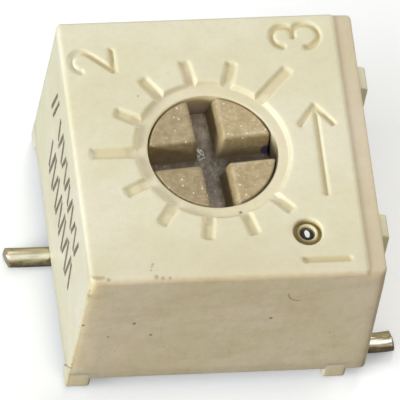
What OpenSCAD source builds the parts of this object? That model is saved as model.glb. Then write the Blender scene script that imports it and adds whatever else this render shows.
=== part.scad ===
// Sealed single-turn cermet trimmer potentiometer, square housing, screwdriver adjust,
// wire leads turned outward for surface soldering. Millimetres, +Z up.
// Origin: middle of the square housing, on the plane that the undersides of the leads share.
// Lead 2 points to -X, leads 1 (at -Y) and 3 (at +Y) point to +X.

/* [Housing] */
// Width of the housing along X
body_w = 6.6; // [6.3:0.01:7.0]
// Depth of the housing along Y
body_d = 6.67; // [6.3:0.01:7.0]
// Height of the housing from its rim to its top
body_h = 4.2; // [3.9:0.05:5.0]
// Height of the rim above the seating plane
rim_z = 0.46; // [0.46:0.01:0.7]
// Height of the stand-off feet
foot_h = 0.34; // [0.1:0.01:0.4]
// Rounding of the front and left top edges
edge_r = 0.16; // [0.05:0.01:0.3]
// Rounding of the upright corners
corner_r = 0.12; // [0.05:0.01:0.3]
// Width of the lowered band along the right-hand top edge
band_w = 0.43; // [0.2:0.01:0.5]
// How far the band lies below the top
band_drop = 0.05; // [0.02:0.01:0.15]
// Distance of each side rib from the middle of the housing
rib_y = 1.9; // [1:0.05:2.5]
// How far the side ribs stand out
rib_out = 0.23; // [0.05:0.01:0.3]

// How much further out the right wall stands at the rim than at the top
flare = 0.07; // [0:0.01:0.1]

/* [Dial] */
// Radius of the recess around the rotor at its floor
recess_r = 1.67; // [1.6:0.01:1.8]
// Depth of the recess, the ticks and the digits
mark_depth = 0.1; // [0.05:0.01:0.15]
// Width of the tick grooves
tick_w = 0.25; // [0.1:0.01:0.35]
// Angle between neighbouring ticks
tick_step = 26.8; // [20:0.1:27]
// Stroke width of the digits
stroke = 0.12; // [0.08:0.01:0.16]

/* [Rotor] */
// Radius of the rotor's face
rotor_r = 1.39; // [1.2:0.01:1.43]
// Running clearance around the rotor
run_gap = 0.05; // [0.02:0.01:0.08]
// Width of the cross slot
slot_w = 0.59; // [0.4:0.01:0.7]
// Depth of the cross slot
slot_d = 0.72; // [0.4:0.01:0.75]
// Angle at which the rotor rests, measured from mid travel
rest_angle = 4.3; // [-90:0.1:90]

/* [Leads] */
// Radius of the tinned end of each lead
lead_r = 0.22; // [0.18:0.01:0.22]
// Distance of leads 1 and 3 from lead 2's line, along Y
pitch = 2.54; // [2.5:0.01:2.54]
// Tip of lead 2 from the middle of the housing
lead_2_reach = 4.34; // [4:0.01:5]
// Tips of leads 1 and 3 from the middle of the housing
lead_13_reach = 4.14; // [3.9:0.01:5]

/* [Hidden] */
$fn = 96;
e = 0.01;
top_z = rim_z + body_h;                // top of the housing
floor_z = top_z - mark_depth;          // floor of the recess and the marks
ax = -0.2;                             // rotor axis, X
ay = -0.04;                            // rotor axis, Y
bore_r = rotor_r + run_gap;
face_z = top_z - 0.11;                 // rotor's face, just under the recess floor
pocket = 5.7;                          // square pocket under the round cavity
shoulder_z = 2.06;                     // where the square pocket ends
cavity_r = 2.5;
ceiling_z = top_z - 0.66;              // top of the round cavity
boss_r = 1.95;
boss_z = face_z - slot_d - 0.12;       // underside of the boss around the bore
flange_r = 2.05;
flange_z = [2.55, 3.05];
pip_x = 0.45;                          // where the wiper is held
sub_z = [1.40, 2.03];                  // underside and top of the ceramic plate
sub_w = 5.6;
film = 0.02;                           // thickness of the printed films
track_r = [1.55, 2.15];
track_end = 38;                        // angle from +X at which the track ends
pot_z = 0.70;                          // underside of the potting
stem_r = lead_r - 0.01;
bend_r = 0.45;
stem_x = 2.45;                         // upright part of each lead
tin_x = 3.5;                           // where the tinned end reaches its full thickness
vent = [1.645, -2.226];                // vent hole in the top
stop_half = 30;                        // half angle of the housing's stop
lug_half = 14;                         // half angle of the rotor's lug

// a wedge of the plane between two angles, to cut sectors with
module wedge(a0, a1, r) {
  n = 6;
  polygon(concat([[0, 0]], [for (i = [0:n]) let (a = a0 + (a1 - a0) * i / n) [r * cos(a), r * sin(a)]]));
}
module sector(r0, r1, a0, a1) {
  intersection() {
    difference() { circle(r1); circle(r0); }
    wedge(a0, a1, 2 * r1);
  }
}
// what a rounded corner takes away: the corner at the origin, material towards -x and -y
module corner_cut(r) {
  difference() {
    translate([-r, -r]) square(r + 1);
    translate([-r, -r]) circle(r);
    translate([-r - 1, -r - 1]) square([1, r + 3]);
    translate([-r - 1, -r - 1]) square([r + 3, 1]);
  }
}
// outline of the housing seen from the front, with the lowered band on the right
module front_outline() {
  x = body_w / 2;
  difference() {
    polygon([[-x, rim_z], [x + flare, rim_z], [x, top_z - band_drop - 0.02], [x - band_w + 0.03, top_z - band_drop],
             [x - band_w, top_z], [-x, top_z]]);
    translate([-x, top_z]) mirror([1, 0]) corner_cut(edge_r * 0.65);
    translate([x, top_z - band_drop - 0.016]) corner_cut(0.06);
  }
}
// outline of the housing seen from the right, rounded more along the front
module side_outline() {
  y = body_d / 2;
  difference() {
    polygon([[0.03 - y, rim_z], [y - 0.05, rim_z], [y, top_z], [-y, top_z]]);
    translate([-y, top_z]) mirror([1, 0]) corner_cut(edge_r + 0.03);
    translate([y, top_z]) corner_cut(0.08);
  }
}
module plan_outline() {
  difference() {
    translate([-body_w / 2, -body_d / 2]) square([body_w + flare, body_d]);
    for (sy = [0, 1]) mirror([0, sy]) {
      translate([body_w / 2 + flare, body_d / 2]) corner_cut(corner_r + flare);
      mirror([1, 0]) translate([body_w / 2, body_d / 2]) corner_cut(corner_r);
    }
  }
}
module block() {
  intersection() {
    rotate([90, 0, 0]) linear_extrude(height = body_d + 2, center = true) front_outline();
    rotate([90, 0, 90]) linear_extrude(height = body_w + 2, center = true) side_outline();
    translate([0, 0, rim_z]) linear_extrude(height = body_h) plan_outline();
  }
}
// stand-off foot between two X values, from y0 over length l
module foot(x0, x1, y0, l) {
  z = rim_z - foot_h;
  translate([0, y0 + l, 0]) rotate([90, 0, 0]) linear_extrude(height = l)
    polygon([[x0, rim_z + 0.1], [x0, z + 0.03], [x0 + 0.03, z], [x1 - 0.03, z], [x1, z + 0.03], [x1, rim_z + 0.1]]);
}
// the left-hand feet follow the rounding of the upright corners
module feet() {
  l = 0.475;
  y = body_d / 2;
  intersection() {
    for (s = [0.03 - y, y - 0.05 - l]) {
      foot(-body_w / 2, -body_w / 2 + 0.52, s, l);
      foot(2.42, 2.94, s, l);
    }
    linear_extrude(height = rim_z + 1) plan_outline();
  }
}
module side_rib(y) {
  x = body_w / 2;
  translate([0, y + 0.29, 0]) rotate([90, 0, 0]) linear_extrude(height = 0.58)
    polygon([[x - 0.2, rim_z], [x + rib_out + 0.02, rim_z], [x + rib_out, top_z - 0.5], [x + rib_out - 0.06, top_z - 0.4], [x - 0.2, top_z - 0.4]]);
}
// one tick groove along the radius, seen from above, with a rounded outer end
module tick(a, reach) {
  rotate(a) {
    translate([1.6, -tick_w / 2]) square([reach - 1.6 - 0.06, tick_w]);
    translate([reach - 0.12, -tick_w / 2 + 0.06]) square([0.12, tick_w - 0.12]);
    for (s = [-1, 1]) translate([reach - 0.06, s * (tick_w / 2 - 0.06)]) circle(0.06);
  }
}
module ticks() {
  for (i = [-5:5]) tick(180 + i * tick_step, i == -5 ? 2.76 : i == 0 ? 2.73 : i == 5 ? 2.26 : 2.31);
}
// digits stand upright here, 1.05 tall, lower left corner at the origin
module bar(p, q, w) {
  v = q - p;
  translate(p) rotate(atan2(v[1], v[0])) translate([0, -w / 2]) square([norm(v), w]);
}
module digit_1() {
  translate([0.3 - stroke / 2, 0]) square([stroke, 1.07]);
  bar([0.3, 1.01], [0.18, 0.94], stroke * 0.8);
}
module digit_2() {
  translate([0.31, 0.74]) sector(0.31 - stroke, 0.31, -38, 168);
  bar([0.505, 0.56], [0.08, 0.07], stroke);
  square([0.62, stroke]);
}
module digit_3() {
  h = stroke / 2;
  translate([0.31, 0.8]) sector(0.262 - h, 0.262 + h, -60, 172);
  translate([0.32, 0.315]) sector(0.3 - h, 0.3 + h, -180, 66);
  bar([0.3, 0.585], [0.46, 0.585], stroke);
}
module arrow() {
  square([stroke, 2.3], center = true);
  translate([0, 1.15]) for (s = [0, 1]) mirror([s, 0]) bar([0, 0], [-0.37, -0.47], stroke);
}
module marks() {
  translate([2.51, 2.475]) rotate(90) digit_3();
  translate([2.53, -3.24]) rotate(90) digit_1();
  translate([-2.1, 2.0]) rotate(90) digit_2();
  translate([2.18, -0.16]) arrow();
}
// full outline of one lead's path along +X, upright at stem_x, tip at reach
module lead_body(reach) {
  // upright stem
  translate([stem_x, 0, lead_r + bend_r]) cylinder(r = stem_r, h = sub_z[0] - film - lead_r - bend_r);
  // bend
  translate([stem_x + bend_r, 0, lead_r + bend_r]) rotate([90, 0, 0]) rotate([0, 0, 180])
    rotate_extrude(angle = 90) translate([bend_r, 0]) circle(stem_r, $fn = 48);
  // run under the rim, thickening into the tinned end
  translate([stem_x + bend_r, 0, lead_r]) rotate([0, 90, 0]) cylinder(r1 = stem_r, r2 = lead_r, h = tin_x - stem_x - bend_r);
  translate([tin_x, 0, lead_r]) rotate([0, 90, 0]) {
    cylinder(r = lead_r, h = reach - 0.05 - tin_x);
    translate([0, 0, reach - 0.05 - tin_x]) cylinder(r1 = lead_r, r2 = lead_r - 0.05, h = 0.05);
  }
}
module solder_collar() {
  translate([stem_x, 0, 1.1]) difference() {
    cylinder(r1 = stem_r + 0.02, r2 = stem_r + 0.08, h = sub_z[0] - film - 1.1);
    translate([0, 0, -1]) cylinder(r = stem_r, h = 3);
  }
}
// printed end pad for terminal 3: on top of the plate, over its edge and under the stem
module end_pad(y0) {
  h = sub_w / 2;
  a = track_end - 0.2;
  translate([0, 0, sub_z[1]]) linear_extrude(height = film)
    polygon([[ax + track_r[0] * cos(a), y0 + track_r[0] * sin(a)], [ax + track_r[1] * cos(a), y0 + track_r[1] * sin(a)],
             [1.75, 2.75], [h, 2.75], [h, 1.1], [1.9, 0.85], [1.3, 0.55]]);
  translate([h, 1.1, sub_z[0] - film]) cube([film, 1.65, sub_z[1] - sub_z[0] + 2 * film]);
  translate([1.95, 1.9, sub_z[0] - film]) cube([h - 1.95 + film, 0.85, film]);
}

module housing() {
  color([0.88, 0.86, 0.76])
  difference() {
    union() {
      block();
      feet();
      side_rib(rib_y);
      side_rib(-rib_y);
    }
    // square pocket for the ceramic plate, open at the rim
    translate([-pocket / 2, -pocket / 2, rim_z - 1]) cube([pocket, pocket, shoulder_z - rim_z + 1]);
    // round cavity with the stop left standing in it
    translate([ax, ay, shoulder_z - e]) difference() {
      cylinder(r = cavity_r, h = ceiling_z - shoulder_z + e);
      translate([0, 0, boss_z - shoulder_z + e]) difference() {
        cylinder(r = boss_r, h = 3);
        translate([0, 0, -1]) cylinder(r = bore_r, h = 5);
      }
      translate([0, 0, -1]) linear_extrude(height = 6)
        sector(flange_r + 0.08, cavity_r + 0.5, -stop_half, stop_half);
    }
    // rotor bore and the recess around it
    translate([ax, ay, 2.5]) cylinder(r = bore_r, h = 4);
    translate([ax, ay, floor_z]) cylinder(r1 = recess_r, r2 = recess_r + 0.14, h = mark_depth);
    translate([ax, ay, floor_z]) linear_extrude(height = 1) ticks();
    translate([0, 0, floor_z + 0.02]) linear_extrude(height = 1) marks();
    // vent: wide mouth, then a narrow way down to the pocket, with a low lip around it
    translate([vent[0], vent[1], 0]) {
      translate([0, 0, top_z - 0.205]) difference() {
        cylinder(r = 0.33, h = 1);
        translate([0, 0, -1]) cylinder(r = 0.237, h = 1.145);
      }
      translate([0, 0, shoulder_z - 0.5]) cylinder(r = 0.17, h = 4);
    }
  }
}
module rotor() {
  color([0.66, 0.60, 0.45])
  translate([ax, ay, 0]) rotate([0, 0, rest_angle]) difference() {
    union() {
      translate([0, 0, flange_z[1] - e]) cylinder(r = rotor_r, h = face_z - flange_z[1] - 0.03 + e);
      translate([0, 0, face_z - 0.03]) cylinder(r1 = rotor_r, r2 = rotor_r - 0.03, h = 0.03);
      translate([0, 0, flange_z[0]]) cylinder(r = flange_r, h = flange_z[1] - flange_z[0]);
      translate([0, 0, flange_z[0] + 0.03]) linear_extrude(height = flange_z[1] - flange_z[0] - 0.06)
        sector(flange_r - 0.2, cavity_r - 0.12, 180 - lug_half, 180 + lug_half);
      // pips that hold the wiper
      for (y = [-0.45, 0.45]) translate([pip_x, y, flange_z[0] - 0.14]) cylinder(r = 0.12, h = 0.3);
    }
    for (a = [0, 90]) rotate(a)
      translate([-2, -slot_w / 2, face_z - slot_d]) cube([4, slot_w, 2]);
    // moulding hollow in the underside
    translate([0, 0, flange_z[0] - 1]) cylinder(r = 0.28, h = 1.3);
  }
}
module seal_ring() {
  r = (boss_z - flange_z[1] - 0.02) / 2;
  color([0.16, 0.16, 0.18])
  translate([ax, ay, boss_z - r]) rotate_extrude()
    translate([rotor_r + 0.02 + r, 0]) circle(r, $fn = 48);
}
// stamped spring: a strap under the rotor, one finger on the track and, bent down
// from the strap's window, one on the collector
module wiper_spring() {
  t = 0.07;
  z = flange_z[0] - t;
  low = sub_z[1] + film + 0.025;
  color([0.83, 0.68, 0.34])
  translate([ax, ay, 0]) rotate([0, 0, rest_angle]) difference() {
    union() {
      difference() {
        translate([-1.35, -0.7, z]) cube([2.75, 1.4, t]);
        translate([-0.35, -0.19, z - 1]) cube([1.45, 0.38, 3]);
      }
      // outer finger, tip on the track's middle line
      translate([0, 0.3, 0]) rotate([90, 0, 0]) linear_extrude(height = 0.6)
        polygon([[-1.35, z + t], [-1.78, low + t], [-1.86, low + t], [-1.96, low + 0.14], [-2.02, low + 0.11], [-1.89, low], [-1.75, low], [-1.3, z], [-1.2, z], [-1.2, z + t]]);
      // inner finger, tip on the collector
      translate([0, 0.13, 0]) rotate([90, 0, 0]) linear_extrude(height = 0.26)
        polygon([[1.1, z + t], [0.1, low + t], [-0.04, low + t], [-0.14, low + 0.13], [-0.2, low + 0.1], [-0.07, low], [0.12, low], [1.12, z], [1.3, z], [1.3, z + t]]);
    }
    for (y = [-0.45, 0.45]) translate([pip_x, y, z - 1]) cylinder(r = 0.13, h = 2);
  }
}
module substrate() {
  color([0.93, 0.93, 0.90])
  difference() {
    translate([-sub_w / 2, -sub_w / 2, sub_z[0]]) cube([sub_w, sub_w, sub_z[1] - sub_z[0]]);
    // plated way from the collector to the underside
    translate([ax, ay, 0]) cylinder(r = 0.2, h = 5);
  }
}
module resistive_track() {
  color([0.13, 0.13, 0.14])
  translate([ax, ay, sub_z[1]]) linear_extrude(height = film)
    sector(track_r[0], track_r[1], track_end, 360 - track_end);
}
module collector_track() {
  color([0.75, 0.75, 0.72]) {
    translate([ax, ay, sub_z[1]]) cylinder(r = 0.5, h = film);
    translate([ax, ay, sub_z[0] - film]) cylinder(r = 0.2, h = sub_z[1] - sub_z[0] + 2 * film);
    translate([-2.78, -0.35, sub_z[0] - film]) cube([2.78 + ax + 0.3, 0.7, film]);
  }
}
module end_pad_3() { color([0.75, 0.75, 0.72]) end_pad(ay); }
module end_pad_1() { color([0.75, 0.75, 0.72]) mirror([0, 1, 0]) end_pad(-ay); }
module lead_1() { color([0.72, 0.70, 0.62]) translate([0, -pitch, 0]) lead_body(lead_13_reach); }
module lead_3() { color([0.72, 0.70, 0.62]) translate([0, pitch, 0]) lead_body(lead_13_reach); }
module lead_2() { color([0.72, 0.70, 0.62]) mirror([1, 0, 0]) lead_body(lead_2_reach); }
module solder_joint_1() { color([0.8, 0.8, 0.8]) translate([0, -pitch, 0]) solder_collar(); }
module solder_joint_3() { color([0.8, 0.8, 0.8]) translate([0, pitch, 0]) solder_collar(); }
module solder_joint_2() { color([0.8, 0.8, 0.8]) mirror([1, 0, 0]) solder_collar(); }
// resin that closes the underside around the leads
module potting() {
  color([0.30, 0.24, 0.16])
  difference() {
    translate([-pocket / 2, -pocket / 2, pot_z]) cube([pocket, pocket, sub_z[0] - pot_z]);
    translate([-2.78, -0.35, sub_z[0] - film]) cube([2.78 + ax + 0.3, 0.7, 1]);
    for (s = [0, 1]) mirror([0, s, 0]) translate([1.95, 1.9, sub_z[0] - film]) cube([pocket, 0.85, 1]);
    for (p = [[stem_x, -pitch], [stem_x, pitch], [-stem_x, 0]]) translate([p[0], p[1], 0]) {
      cylinder(r = stem_r, h = 3);
      translate([0, 0, 1.1]) cylinder(r1 = stem_r + 0.02, r2 = stem_r + 0.08, h = sub_z[0] - film - 1.1);
    }
  }
}
module vent_seal() {
  color([0.08, 0.07, 0.06])
  translate([vent[0], vent[1], 0]) {
    translate([0, 0, 4.0]) cylinder(r = 0.17, h = top_z - 0.13 - 4.0);
    translate([0, 0, top_z - 0.13]) cylinder(r1 = 0.17, r2 = 0.09, h = 0.025);
  }
}

housing();
rotor();
seal_ring();
wiper_spring();
substrate();
resistive_track();
collector_track();
end_pad_1();
end_pad_3();
lead_1();
lead_2();
lead_3();
solder_joint_1();
solder_joint_2();
solder_joint_3();
potting();
vent_seal();
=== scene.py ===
import math
import bpy
import bmesh
import numpy as np
from mathutils import Matrix, Vector, noise as mnoise


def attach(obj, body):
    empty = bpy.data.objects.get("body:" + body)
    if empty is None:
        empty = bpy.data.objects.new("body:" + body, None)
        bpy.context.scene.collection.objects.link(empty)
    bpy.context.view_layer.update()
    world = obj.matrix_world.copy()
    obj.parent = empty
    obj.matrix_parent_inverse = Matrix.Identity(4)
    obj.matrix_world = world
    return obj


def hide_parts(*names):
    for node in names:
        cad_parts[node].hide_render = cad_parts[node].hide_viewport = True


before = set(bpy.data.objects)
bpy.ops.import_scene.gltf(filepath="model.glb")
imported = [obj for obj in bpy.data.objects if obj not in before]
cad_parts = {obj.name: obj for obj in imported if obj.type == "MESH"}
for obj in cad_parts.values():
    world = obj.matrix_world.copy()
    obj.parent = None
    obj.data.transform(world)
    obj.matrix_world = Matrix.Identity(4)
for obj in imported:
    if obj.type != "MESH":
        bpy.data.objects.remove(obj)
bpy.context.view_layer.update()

MM = 0.001
S = bpy.context.scene

# ---------------------------------------------------------------- camera, light, floor
az, el, roll, dist = math.radians(-18.716), math.radians(57.934), math.radians(13.838), 366.74
target = Vector((-0.606, -1.208, 4.46))
back = Vector((math.sin(az) * math.cos(el), -math.cos(az) * math.cos(el), math.sin(el)))
right = (-back).cross(Vector((0, 0, 1))).normalized()
up = right.cross(-back)
r2 = right * math.cos(roll) + up * math.sin(roll)
u2 = -right * math.sin(roll) + up * math.cos(roll)
cam_data = bpy.data.cameras.new("camera")
cam_data.sensor_width = 36.0
cam_data.lens = 36.0 * 45.645 * dist / 400.0
cam_data.clip_start = 0.01
cam_data.clip_end = 10.0
cam = bpy.data.objects.new("camera", cam_data)
S.collection.objects.link(cam)
m = Matrix.Identity(4)
for i, v in enumerate((r2, u2, back)):
    m[0][i], m[1][i], m[2][i] = v
m.translation = (target + back * dist) * MM
cam.matrix_world = m
S.camera = cam

S.view_settings.view_transform = "Standard"
S.view_settings.look = "None"
S.view_settings.exposure = 0.0
S.view_settings.gamma = 1.0


def area(name, direction, distance, size, power, color):
    """A soft light in the given direction. size is its width and its length in the vertical plane that runs front to rear."""
    d = Vector(direction).normalized()
    data = bpy.data.lights.new(name, "AREA")
    data.shape = "ELLIPSE"
    data.size, data.size_y = size
    data.energy = power
    data.color = color
    o = bpy.data.objects.new(name, data)
    S.collection.objects.link(o)
    x = Vector((0.0, 1.0, 0.0)).cross(d).normalized()
    m = Matrix((x, d.cross(x), d)).transposed().to_4x4()
    m.translation = d * distance
    o.matrix_world = m
    return o


area("left", (-0.905, -0.283, 0.317), 0.5, (0.10, 0.40), 2.55, (0.96, 1.0, 1.02))
area("rear", (0.17, 0.50, 0.85), 0.6, (0.16, 0.30), 0.56, (1.03, 1.0, 0.95))
area("right", (0.78, 0.50, 0.36), 0.6, (0.40, 0.40), 1.25, (1.02, 1.0, 0.95))
area("soft", (-0.12, -0.33, 0.93), 0.5, (0.36, 0.62), 0.66, (1.03, 1.0, 0.96))
area("front", (0.15, -1.0, 0.22), 0.6, (0.40, 0.40), 0.17, (1.25, 1.0, 0.60))
world = bpy.data.worlds.new("studio")
world.use_nodes = True
bg = world.node_tree.nodes["Background"]
bg.inputs["Color"].default_value = (1.04, 1.0, 0.90, 1)
bg.inputs["Strength"].default_value = 0.19
S.world = world


# ---------------------------------------------------------------- material building
class G:
    """A small writer of node materials. Lengths are in millimetres of the object's own space."""

    def __init__(self, name):
        self.mat = bpy.data.materials.new(name)
        self.mat.use_nodes = True
        self.t = self.mat.node_tree
        self.t.nodes.clear()
        tc = self.t.nodes.new("ShaderNodeTexCoord")
        self.co = self.vm("MULTIPLY", tc.outputs["Object"], (1000, 1000, 1000))
        self.sep = None

    def put(self, sock, v):
        if isinstance(v, bpy.types.NodeSocket):
            self.t.links.new(v, sock)
        elif v is not None:
            if hasattr(sock.default_value, "__len__") and not hasattr(v, "__len__"):
                v = (v,) * len(sock.default_value)
            if hasattr(v, "__len__") and len(v) == 3 and len(sock.default_value) == 4:
                v = (*v, 1.0)
            sock.default_value = v

    def ma(self, op, a, b=None, c=None, clamp=False):
        n = self.t.nodes.new("ShaderNodeMath")
        n.operation = op
        n.use_clamp = clamp
        for i, v in enumerate((a, b, c)):
            self.put(n.inputs[i], v)
        return n.outputs[0]

    def vm(self, op, a, b=None, out=0):
        n = self.t.nodes.new("ShaderNodeVectorMath")
        n.operation = op
        self.put(n.inputs[0], a)
        if b is not None:
            self.put(n.inputs[1], b)
        return n.outputs[out]

    def xyz(self):
        if self.sep is None:
            n = self.t.nodes.new("ShaderNodeSeparateXYZ")
            self.put(n.inputs[0], self.co)
            self.sep = n.outputs
        return self.sep

    def noise(self, scale, detail=3.0, rough=0.55, warp=0.0, vec=None):
        n = self.t.nodes.new("ShaderNodeTexNoise")
        self.put(n.inputs["Vector"], vec or self.co)
        n.inputs["Scale"].default_value = scale
        n.inputs["Detail"].default_value = detail
        n.inputs["Roughness"].default_value = rough
        n.inputs["Distortion"].default_value = warp
        return n.outputs["Fac"]

    def cells(self, scale, out="Distance", vec=None, feature="F1"):
        n = self.t.nodes.new("ShaderNodeTexVoronoi")
        n.feature = feature
        self.put(n.inputs["Vector"], vec or self.co)
        n.inputs["Scale"].default_value = scale
        return n.outputs[out]

    def rng(self, v, a, b, c=0.0, d=1.0, kind="SMOOTHSTEP"):
        n = self.t.nodes.new("ShaderNodeMapRange")
        n.interpolation_type = kind
        self.put(n.inputs["Value"], v)
        for k, x in zip(("From Min", "From Max", "To Min", "To Max"), (a, b, c, d)):
            self.put(n.inputs[k], x)
        return n.outputs[0]

    def mix(self, f, a, b, blend="MIX"):
        n = self.t.nodes.new("ShaderNodeMix")
        n.data_type = "RGBA"
        n.blend_type = blend
        self.put(n.inputs[0], f)
        self.put(n.inputs[6], a)
        self.put(n.inputs[7], b)
        return n.outputs[2]

    def spot(self, p, r0, r1):
        """1 inside r0 of a point, 0 outside r1."""
        return self.rng(self.vm("DISTANCE", self.co, p, out=1), r0, r1, 1.0, 0.0)

    def bump(self, h, dist_mm, strength=1.0, normal=None):
        n = self.t.nodes.new("ShaderNodeBump")
        n.inputs["Strength"].default_value = strength
        n.inputs["Distance"].default_value = dist_mm * MM
        self.put(n.inputs["Height"], h)
        if normal is not None:
            self.put(n.inputs["Normal"], normal)
        return n.outputs[0]

    def out(self, **k):
        b = self.t.nodes.new("ShaderNodeBsdfPrincipled")
        for name, v in k.items():
            self.put(b.inputs[name.replace("_", " ")], v)
        o = self.t.nodes.new("ShaderNodeOutputMaterial")
        self.t.links.new(b.outputs[0], o.inputs[0])
        return self.mat


def lin(h, k=1.0):
    c = [int(h[i:i + 2], 16) / 255 for i in (0, 2, 4)]
    return tuple(k * (x / 12.92 if x <= 0.04045 else ((x + 0.055) / 1.055) ** 2.4) for x in c)


AX, AY = -0.2, -0.04
TOP, RIM = 4.66, 0.46


def housing_material():
    g = G("ivory_plastic")
    x, y, z = g.xyz()
    base, pale, tan = lin("E6E1C4"), lin("ECE8D2"), lin("DDD5B2")
    big = g.noise(0.55, 3, 0.5)
    fine = g.noise(9.0, 4, 0.6)
    col = g.mix(g.rng(big, 0.35, 0.7), base, pale)
    col = g.mix(g.rng(fine, 0.45, 0.85, 0.0, 0.35), col, tan)
    front = g.rng(y, -3.30, -3.24, 1.0, 0.0)
    m1 = g.noise(1.6, 4, 0.7, 0.0, g.vm("MULTIPLY", g.co, (0.8, 1.0, 1.5)))
    m2 = g.noise(4.5, 3, 0.65, 0.0, g.vm("MULTIPLY", g.co, (1.3, 1.3, 0.7)))
    amount = g.ma("ADD", 0.35, g.ma("MULTIPLY", front, 0.65))
    col = g.mix(g.ma("MULTIPLY", amount, g.rng(m1, 0.42, 0.68)), col, g.mix(1.0, col, (0.94, 0.91, 0.89), "MULTIPLY"))
    col = g.mix(g.ma("MULTIPLY", amount, g.rng(m2, 0.40, 0.66)), col, g.mix(1.0, col, (0.95, 0.95, 0.935), "MULTIPLY"))
    # painted light: the front wall is lighter towards its left end, where light from the left comes round the corner
    col = g.mix(g.ma("MULTIPLY", front, g.rng(x, -3.24, -2.70, 1.0, 0.0)), col, g.mix(1.0, col, (1.11, 1.11, 1.07), "MULTIPLY"))
    # painted shade and grime: the walls are darker along their bottom, between the feet
    between = g.rng(g.ma("ABSOLUTE", g.ma("ADD", x, 0.18)), 2.56, 2.64, 1.0, 0.0)
    col = g.mix(g.ma("MULTIPLY", between, g.rng(z, 0.40, 0.62, 1.0, 0.0)), col, g.mix(1.0, col, (0.95, 0.91, 0.88), "MULTIPLY"))
    # painted shade: the front left corner is darkened so that it shows no highlight
    corner = g.rng(g.vm("LENGTH", g.vm("MULTIPLY", g.vm("SUBTRACT", g.co, (-3.325, -3.315, 0)), (1, 1, 0)), out=1), 0.035, 0.085, 1.0, 0.0)
    corner = g.ma("MULTIPLY", corner, g.rng(z, 4.40, 4.62, 1.0, 0.0))
    col = g.mix(corner, col, g.mix(1.0, col, (0.83, 0.82, 0.78), "MULTIPLY"))
    scuff = g.ma("MULTIPLY", g.ma("MULTIPLY", corner, g.rng(z, 2.2, 2.9)), g.rng(g.noise(2.6, 3, 0.6), 0.40, 0.60))
    col = g.mix(scuff, col, g.mix(1.0, col, (0.86, 0.85, 0.83), "MULTIPLY"))
    # a fine crack low on the left wall
    ck = g.ma("ADD", g.ma("MULTIPLY", g.ma("ADD", y, 2.847), 0.801), g.ma("MULTIPLY", g.ma("SUBTRACT", z, 0.367), 0.599))
    ck = g.ma("ADD", ck, g.ma("MULTIPLY", g.ma("SUBTRACT", g.noise(4.0, 2, 0.5), 0.5), 0.16))
    ck = g.rng(g.ma("ABSOLUTE", ck), 0.010, 0.034, 1.0, 0.0)
    ck = g.ma("MULTIPLY", ck, g.ma("MULTIPLY", g.rng(x, -3.30, -3.24, 1.0, 0.0), g.rng(z, 1.00, 1.10, 1.0, 0.0)))
    col = g.mix(g.ma("MULTIPLY", ck, 0.6), col, lin("7A6C54"))
    # painted shade: the lowered band along the right-hand edge is made darker and a little browner
    band = g.ma("MULTIPLY", g.rng(x, 2.86, 2.92), g.rng(z, 4.45, 4.60))
    col = g.mix(band, col, g.mix(1.0, col, (0.90, 0.83, 0.80), "MULTIPLY"))
    # painted shade: the front wall is made a little browner and yellower, the warm tone of its shade
    col = g.mix(g.rng(y, -3.30, -3.24, 1.0, 0.0), col, g.mix(1.0, col, (1.05, 0.965, 0.91), "MULTIPLY"))
    # the top is a little browner towards its front edge; painted shade darkens it in the recess and the marks
    col = g.mix(g.ma("MULTIPLY", g.rng(y, -3.1, -1.6, 1.0, 0.0), g.rng(z, 4.40, 4.55)), col, g.mix(1.0, col, (0.94, 0.92, 0.90), "MULTIPLY"))
    inside = g.ma("MULTIPLY", g.rng(g.ma("ABSOLUTE", x), 2.78, 2.86, 1.0, 0.0), g.rng(g.ma("ABSOLUTE", y), 3.10, 3.16, 1.0, 0.0))
    sunk = g.ma("MULTIPLY", inside, g.rng(z, 4.585, 4.64, 1.0, 0.0))
    col = g.mix(sunk, col, g.mix(1.0, col, (1.0, 0.965, 0.925), "MULTIPLY"))
    # dirt and painted shade on the slopes of the recess and the marks, which also dims their highlights
    slope = g.ma("MULTIPLY", inside, g.ma("MULTIPLY", g.rng(z, 4.57, 4.60), g.rng(z, 4.625, 4.65, 1.0, 0.0)))
    col = g.mix(slope, col, g.mix(1.0, col, (0.955, 0.945, 0.885), "MULTIPLY"))
    # painted shade and grime down the rotor's bore
    r = g.vm("LENGTH", g.vm("MULTIPLY", g.vm("SUBTRACT", g.co, (AX, AY, 0)), (1, 1, 0)), out=1)
    # dust and painted shade in the digits, and a little in the marks
    dust_and_shade = g.ma("MULTIPLY", g.ma("MULTIPLY", inside, g.rng(z, 4.600, 4.652, 1.0, 0.0)), g.rng(r, 2.35, 2.80, 0.35, 1.0))
    dust_and_shade = g.ma("MULTIPLY", dust_and_shade, g.rng(r, 1.80, 1.90))
    col = g.mix(dust_and_shade, col, g.mix(1.0, col, (0.975, 0.94, 0.85), "MULTIPLY"))
    # painted shade and grime: the bore's wall is tan, greyer low down
    inner = g.rng(r, 1.437, 1.455, 1.0, 0.0)
    col = g.mix(g.ma("MULTIPLY", inner, g.rng(z, 4.30, 4.54, 1.0, 0.25)), col, lin("CDB986"))
    col = g.mix(g.ma("MULTIPLY", inner, g.rng(z, 4.18, 4.32, 1.0, 0.0)), col, lin("C3B3A3"))
    # painted shade: darker still on the right, where the gap to the rotor is widest, with a painted shadow in the gap
    # itself
    east = g.ma("ADD", g.ma("MULTIPLY", x, 0.85), g.ma("MULTIPLY", y, -0.53))
    far = g.rng(x, 0.85, 1.05)
    col = g.mix(g.ma("MULTIPLY", g.ma("MULTIPLY", inner, far), g.rng(z, 4.15, 4.55, 1.0, 0.35)), col, lin("5A4C38"))
    gap = g.ma("MULTIPLY", g.rng(r, 1.450, 1.474, 1.0, 0.0), g.rng(east, 0.80, 1.15))
    col = g.mix(g.ma("MULTIPLY", gap, 0.85), col, lin("3E2E18"))
    # a dark violet stain on the bore
    col = g.mix(g.ma("MULTIPLY", g.spot((1.20, 0.34, 3.94), 0.08, 0.16), 0.85), col, lin("2B2140"))
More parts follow.
